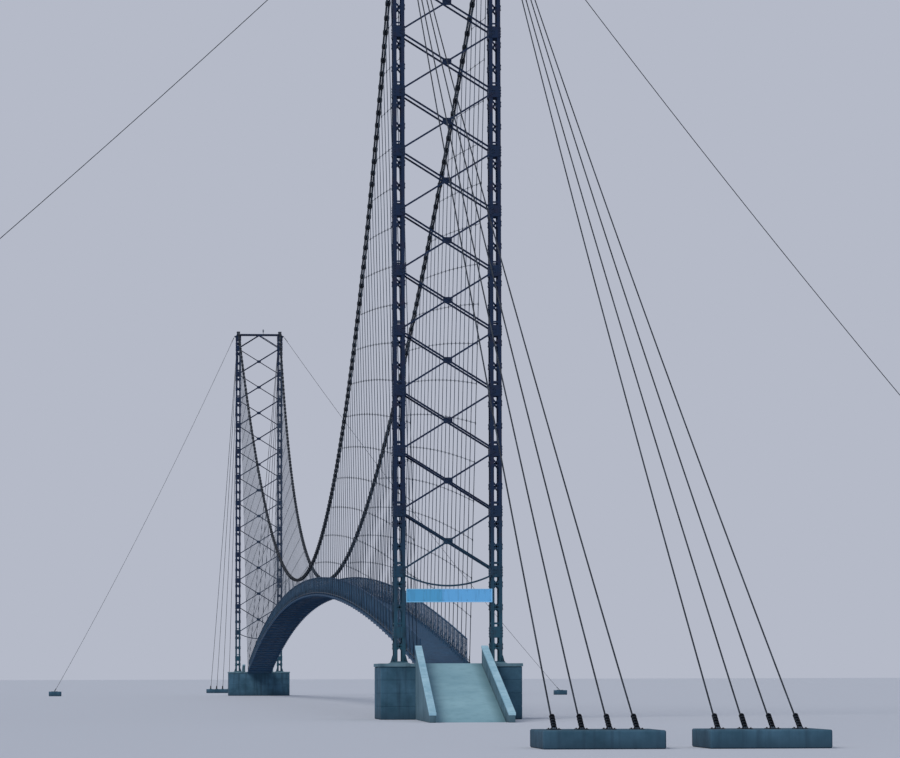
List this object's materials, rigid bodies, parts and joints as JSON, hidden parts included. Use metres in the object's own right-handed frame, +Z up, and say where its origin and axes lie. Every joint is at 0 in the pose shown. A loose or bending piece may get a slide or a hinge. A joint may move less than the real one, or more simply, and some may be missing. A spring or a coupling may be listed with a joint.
{
  "type": "suspension footbridge, 1:10 scale model",
  "caption": "Suspension footbridge with latticed steel pylons, roped main cables, backstays and side guys, an arched netted deck, and concrete ramps at both ends.",
  "frame": {"origin": "centre of the near pylon's foundation, on the ground", "axes": "+Y along the deck from the near pylon to the far one, +X to the right, +Z up"},
  "size_m": [7.404, 34.74, 3.5626],
  "materials": {
    "pylon_paint": "satin",
    "cable_steel": "matte",
    "hanger_wire": "matte",
    "railing_paint": "matte",
    "deck_steel": "matte",
    "cast_concrete": "matte",
    "sign_panel": "satin",
    "lamp_lens": "gloss"
  },
  "bodies": {
    "root": {"near_foundation": "cast_concrete", "near_ramp": "cast_concrete", "near_outer_bracing": "pylon_paint", "near_inner_bracing": "pylon_paint", "near_top_beam": "pylon_paint", "near_lamp": "lamp_lens", "near_left_leg": "pylon_paint", "near_left_saddle": "pylon_paint", "near_left_parapet": "cast_concrete", "near_left_backstays": "cable_steel", "near_left_backstay_anchor": "cast_concrete", "near_left_guy": "cable_steel", "near_left_guy_anchor": "cast_concrete", "near_right_leg": "pylon_paint", "near_right_saddle": "pylon_paint", "near_right_parapet": "cast_concrete", "near_right_backstays": "cable_steel", "near_right_backstay_anchor": "cast_concrete", "near_right_guy": "cable_steel", "near_right_guy_anchor": "cast_concrete", "far_foundation": "cast_concrete", "far_ramp": "cast_concrete", "far_outer_bracing": "pylon_paint", "far_inner_bracing": "pylon_paint", "far_top_beam": "pylon_paint", "far_lamp": "lamp_lens", "far_left_leg": "pylon_paint", "far_left_saddle": "pylon_paint", "far_left_parapet": "cast_concrete", "far_left_backstays": "cable_steel", "far_left_backstay_anchor": "cast_concrete", "far_left_guy": "cable_steel", "far_left_guy_anchor": "cast_concrete", "far_right_leg": "pylon_paint", "far_right_saddle": "pylon_paint", "far_right_parapet": "cast_concrete", "far_right_backstays": "cable_steel", "far_right_backstay_anchor": "cast_concrete", "far_right_guy": "cable_steel", "far_right_guy_anchor": "cast_concrete", "sign_board": "sign_panel", "deck": "deck_steel", "left_main_cable": "cable_steel", "left_hanger_net": "hanger_wire", "left_railing": "railing_paint", "right_main_cable": "cable_steel", "right_hanger_net": "hanger_wire", "right_railing": "railing_paint"}
  },
  "joints": []
}
